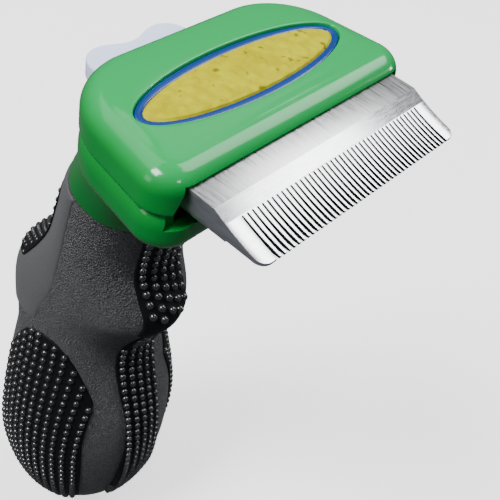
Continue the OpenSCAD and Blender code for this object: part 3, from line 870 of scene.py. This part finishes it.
def bulb_front_dots():
    start, end = 9.0, 18.2
    half = waisted(start, end, 21.5, 14.5, 14.2, 0.25, 0.12)
    patch("bulb_front_skin", start, end, 270, half, SKIN_T, black_skin, "bulb_front_pad", rows=160)
    spots = []
    for row in range(36):
        for col in range(-3, 4):
            z = -63.5 - row * 2.2 - (1.1 if col % 2 else 0)
            place = place_at(z)
            if not start + 0.15 < place < end - 0.15:
                continue
            s = section(place)
            shrink = min(1.0, s[1] / 19.0) if z < -105 else 1.0
            angle = solve_angle(place, col * 2.1 * shrink, "front")
            margin = math.degrees(0.45 / max(s[1], 4))
            if abs(angle - 270) < half(place) - margin:
                spots.append((place, angle, 0.75 + 0.25 * shrink))
    dots("bulb_front_dots", spots, dot_rubber, "bulb_front_pad")


def bulb_side_dots(side):
    """Leaf-shaped pad on one side of the bulb, fullest a third of the way down."""
    start, end = 10.75, 18.6
    middle = 189 if side == "left" else -10
    ends = tapered(start, end, 1.0, 0.3, 0.2)

    def half(place):
        return ends(place) * (45 - 8.5 * float(smoothstep((place - 12.8) / 1.7)))
    slot = "bulb_%s_pad" % side
    patch("bulb_%s_skin" % side, start, end, middle, half, SKIN_T, black_skin, slot, rows=170, cols=120)
    spots = []
    for col in range(-12, 13):
        for row in range(-4, 40):
            q = 51.8 + col * 2.08
            z = -72.0 - row * 2.27 + 0.29 * (51.8 - q)
            place = place_at(z)
            if not start + 0.12 < place < end - 0.1:
                continue
            s = section(place)
            depth, mid = (s[3] - s[2]) / 2, (s[2] + s[3]) / 2
            shrink = min(1.0, depth / 19.9) if z < -105 else 1.0
            offset = (q - 52.25) * shrink + 52.25 - mid
            if abs(offset) > depth * 0.98:
                continue
            angle = solve_angle(place, offset, side)
            margin = math.degrees(0.35 / max(depth, 4))
            if abs(angle - middle) < half(place) - margin:
                spots.append((place, angle, 0.72 + 0.28 * shrink))
    dots("bulb_%s_dots" % side, spots, dot_rubber, slot)


# ---------------------------------------------------------------- finishes and assembly

# Painted light: the head's top cover turns paler towards its top, where light falls.
green = gloss_plastic("green_gloss", (0.0, 0.205, 0.028), rough=0.16, painted_top_light=(0.0, 0.30, 0.070), level=0.4)
# Painted shade: the bottom cover and the collar take darker copies of the same green, darker where less light
# falls on them.
green_low_shade = gloss_plastic("green_gloss_low_painted_shade", (0.0, 0.19, 0.026), rough=0.16, level=0.4)
green_dark_shade = gloss_plastic("green_gloss_dark_painted_shade", (0.0, 0.15, 0.020), rough=0.2)
blue = gloss_plastic("blue_gloss", (0.002, 0.032, 0.17), rough=0.2, level=0.5)
lavender = gloss_plastic("lavender_gloss", (0.66, 0.73, 0.96), rough=0.22, vary=0.03)
yellow = pebbled_inlay("yellow_pebbled")
grip_grey = grip_rubber("grip_grained", (0.070, 0.070, 0.074), 0.0025, 0.70, 0.42)
grip_smooth = grip_rubber("grip_smooth", (0.075, 0.075, 0.079), 0.00003, 0.12, 0.34)
dot_rubber = rubber_dots("dot_rubber")
black_skin = skin_rubber("pad_skin")
steel_ledge = steel("steel_ground", (0.74, 0.75, 0.79), rough=0.30, stretch=(420, 26, 60), turn=(0, 0, 0.42),
                    depth=0.00003, vary=0.60)
steel_bevel = steel("steel_polished", (0.86, 0.87, 0.90), rough=0.26, stretch=(60, 500, 60), vary=0.05,
                    depth=0.000004)
steel_side = steel("steel_side", (0.50, 0.51, 0.55), rough=0.36, stretch=(60, 60, 400), vary=0.12,
                   depth=0.00001)
# Painted shade: near-black steel on the walls of the slots between the teeth, standing in for the shade in those
# narrow gaps.
steel_slot_painted_shade = steel("steel_slot_painted_shade", (0.045, 0.045, 0.05), rough=0.5, stretch=(60, 60, 200), vary=0.3)
wire_steel = steel("steel_wire", (0.55, 0.56, 0.58), rough=0.25, stretch=(300, 300, 300), vary=0.15)
plated = steel("steel_plated", (0.60, 0.60, 0.62), rough=0.24, stretch=(200, 200, 200), vary=0.15)
sheet_steel = steel("steel_sheet", (0.42, 0.43, 0.46), rough=0.34, stretch=(20, 400, 400), vary=0.15)
brass = steel("brass_turned", (0.72, 0.50, 0.20), rough=0.26, stretch=(300, 300, 40), vary=0.12)
white_nylon = matte_plastic("slide_plastic", (0.74, 0.76, 0.78), rough=0.42)
core_plastic = matte_plastic("core_plastic", (0.035, 0.035, 0.038), rough=0.55)

top_shell()
bottom_shell()
badge()
comb()
button()
springs()
collar()
grip()
thumb_rest()
thumb_dots()
finger_dots()
bulb_front_dots()
bulb_side_dots("left")
bulb_side_dots("right")

for node, material in {"comb_screws": plated, "shell_screws": plated, "collar_screws": plated,
                       "button_screw": plated, "plate_rivets": plated, "spring_pins": plated,
                       "neck_bolt": plated, "bolt_insert": brass, "pusher_plate": sheet_steel,
                       "ejector_slide": white_nylon, "handle_core": core_plastic}.items():
    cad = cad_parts[node]
    cad.data.materials.clear()
    cad.data.materials.append(material)

# ---------------------------------------------------------------- floor, light and camera

n = Nodes("floor_paper")
n.bump(n.noise(900, 3.0), 0.0002, 0.08)
n.set(Base_Color=n.mix(n.noise(3, 2.0), (0.76, 0.76, 0.76), (0.80, 0.80, 0.80)), Roughness=0.85,
      Emission_Color=(1.0, 1.0, 1.0), Emission_Strength=1.2)
# Seamless paper: flat round the part, and rising into a plain wall far outside the lights.
sweep = [(0.0, 0.0), (600.0, 0.0), (1500.0, 0.0), (2400.0, 0.0)]
sweep += [(2400 + 600 * math.sin(a), 600 - 600 * math.cos(a)) for a in np.radians(np.linspace(6, 90, 15))]
sweep.append((3000.0, 4200.0))
paper = [(radius * math.cos(a), radius * math.sin(a), low_z - 0.6 + rise)
         for radius, rise in sweep[1:] for a in np.linspace(0, 2 * math.pi, 96, endpoint=False)]
paper_faces = grid_faces(len(sweep) - 1, 96, wrap=True, flip=True) + [list(range(96))]
floor = make("floor", paper, paper_faces, n.mat, body=None)
sharp_by_angle(floor, 20)
floor.visible_shadow = False
floor.visible_diffuse = False
floor.visible_glossy = False

world = bpy.data.worlds.new("studio")
bpy.context.scene.world = world
world.use_nodes = True
world.node_tree.nodes["Background"].inputs["Color"].default_value = (0.90, 0.94, 1.0, 1)
world.node_tree.nodes["Background"].inputs["Strength"].default_value = 0.16


def area_light(name, place, target, size, power, tall=None):
    data = bpy.data.lights.new(name, "AREA")
    data.shape = "RECTANGLE"
    data.size, data.size_y = size, tall or size
    data.energy = power
    obj = bpy.data.objects.new(name, data)
    bpy.context.scene.collection.objects.link(obj)
    obj.location = place
    way = Vector(target) - Vector(place)
    obj.rotation_euler = way.to_track_quat("-Z", "Y").to_euler()
    return obj


area_light("back_left_softbox", (-0.55, 0.22, 0.83), (0, 0.03, -0.03), 0.36, 17.0)
area_light("bevel_softbox", (0.62, -0.12, 0.78), (0, 0.0, 0.0), 0.6, 9.0, tall=0.62)
area_light("ledge_softbox", (0.60, 0.44, 0.70), (0, 0.02, 0.0), 0.35, 0.28, tall=0.25)
area_light("top_softbox", (-0.10, 0.62, 0.85), (0, 0.03, -0.02), 0.9, 3.6, tall=0.6)
area_light("left_low", (-0.82, 0.30, 0.26), (0, 0.05, -0.06), 0.3, 0.9)
area_light("right_kicker", (0.86, -0.46, 0.20), (0, 0.04, -0.07), 0.12, 1.6)
area_light("front_kicker", (-0.17, -0.77, 0.64), (0, 0.02, 0.0), 0.09, 1.2)

cam_data = bpy.data.cameras.new("camera")
cam_data.lens = 60.6  # mm
cam_data.sensor_width = 36
cam_data.clip_start = 0.01
cam = bpy.data.objects.new("camera", cam_data)
bpy.context.scene.collection.objects.link(cam)
right = Vector((0.6637, -0.7269, 0.1767)).normalized()
back = Vector((-0.6011, -0.3777, 0.7042)).normalized()
up = back.cross(right).normalized()
right = up.cross(back)
cam.matrix_world = Matrix.Translation((-0.0830, -0.0357, 0.0727)) @ Matrix((right, up, back)).transposed().to_4x4()
bpy.context.scene.camera = cam

bpy.context.view_layer.update()
